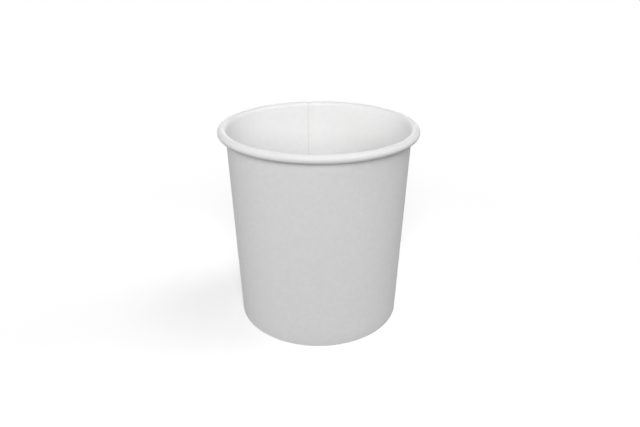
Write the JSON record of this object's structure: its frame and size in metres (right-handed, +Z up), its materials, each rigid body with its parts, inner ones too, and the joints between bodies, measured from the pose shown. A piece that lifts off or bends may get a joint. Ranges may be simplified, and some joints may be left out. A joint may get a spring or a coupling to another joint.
{
  "type": "paper soup cup",
  "caption": "Tapered round paper cup for soup, open at the top, with a curled rim, a lapped side seam and a flat bottom recessed in its folded foot.",
  "frame": {"origin": "on the cup's axis, in the plane of the foot that it stands on", "axes": "+Z up along the cup's axis, -Y towards the picture's camera, +X to its right; the side seam is at the back, 8 degrees left of +Y"},
  "size_m": [0.098, 0.098, 0.101],
  "materials": {
    "wall_board": "white coated board, satin",
    "bottom_board": "white coated board, satin"
  },
  "bodies": {
    "root": {"sidewall": "wall_board", "bottom_disc": "bottom_board"}
  },
  "joints": []
}
